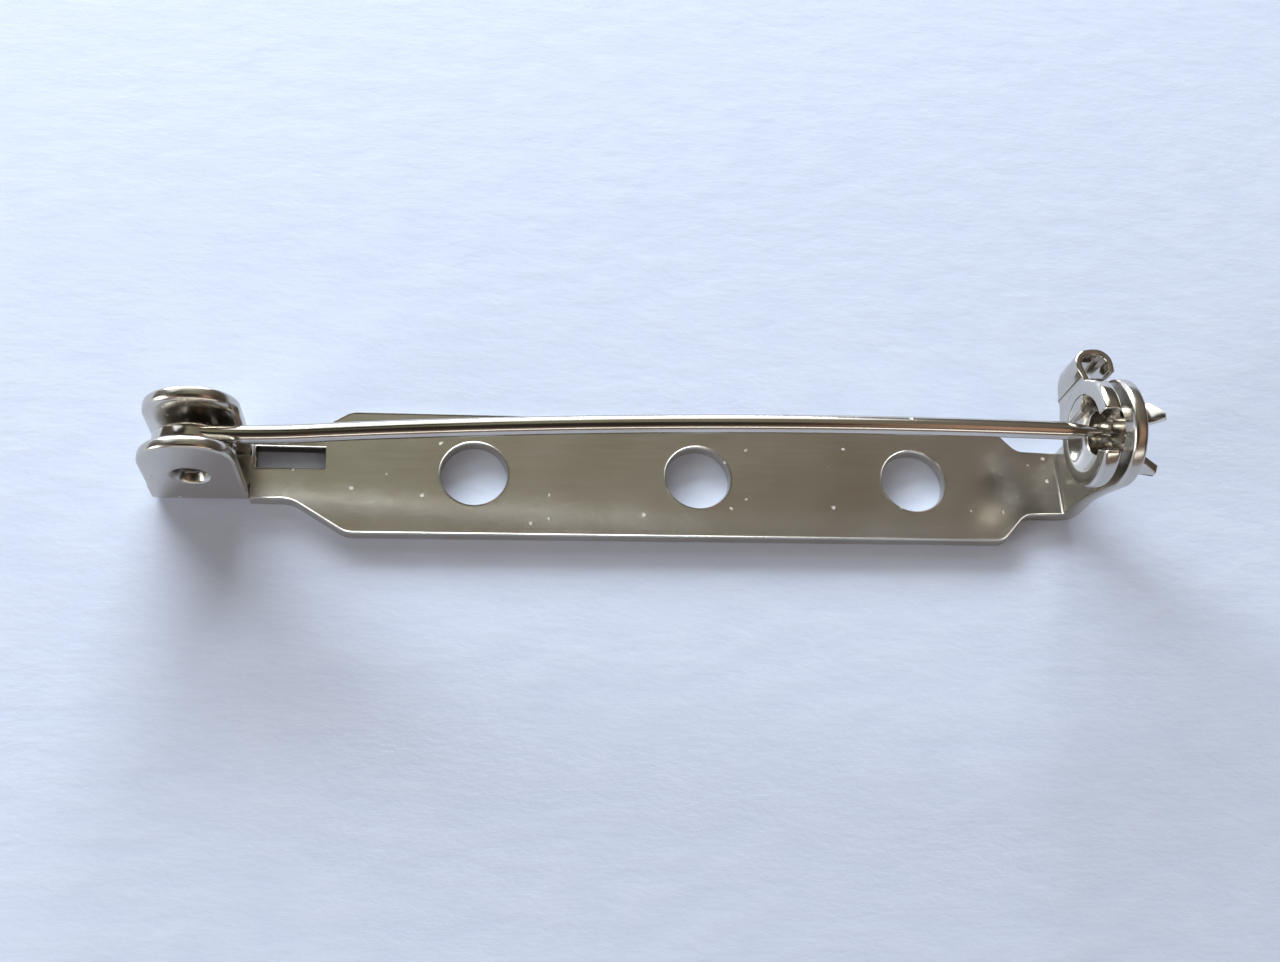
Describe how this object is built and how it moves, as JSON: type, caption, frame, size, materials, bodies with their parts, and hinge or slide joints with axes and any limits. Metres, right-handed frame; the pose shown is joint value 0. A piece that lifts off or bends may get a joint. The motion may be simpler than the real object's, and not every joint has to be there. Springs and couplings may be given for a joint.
{
  "type": "brooch pin finding",
  "caption": "Flat nickel-plated bar back for a brooch, with fixing holes, a hinged bowed pin stem between two dimpled ears, and a turning safety catch at the other end.",
  "frame": {"origin": "the middle fixing hole's axis, in the plane of the bar's flat back", "axes": "+X along the bar from the hinge to the catch, +Z out of the flat back towards the pin stem, +Y completes the right-handed frame"},
  "size_m": [0.0372, 0.0058, 0.0075],
  "materials": {
    "bar_plating": "bright nickel plating over stamped steel sheet",
    "pin_plating": "bright nickel plating over steel wire",
    "catch_plating": "bright nickel plating over turned and folded steel"
  },
  "bodies": {
    "base": {"base_bar": "bar_plating"},
    "pin": {"pin_stem": "pin_plating"},
    "rotor": {"catch_rotor": "catch_plating"}
  },
  "joints": [
    {"name": "pin_hinge", "type": "hinge", "parent": "base", "child": "pin", "pos_m": [-0.019, 0, 0.00265], "axis": [0, -1, 0], "range_deg": [0, 110]},
    {"name": "rotor_turn", "type": "hinge", "parent": "base", "child": "rotor", "pos_m": [0.01523, 0, 0.00545], "axis": [1, 0, 0], "range_deg": [0, 180]}
  ]
}
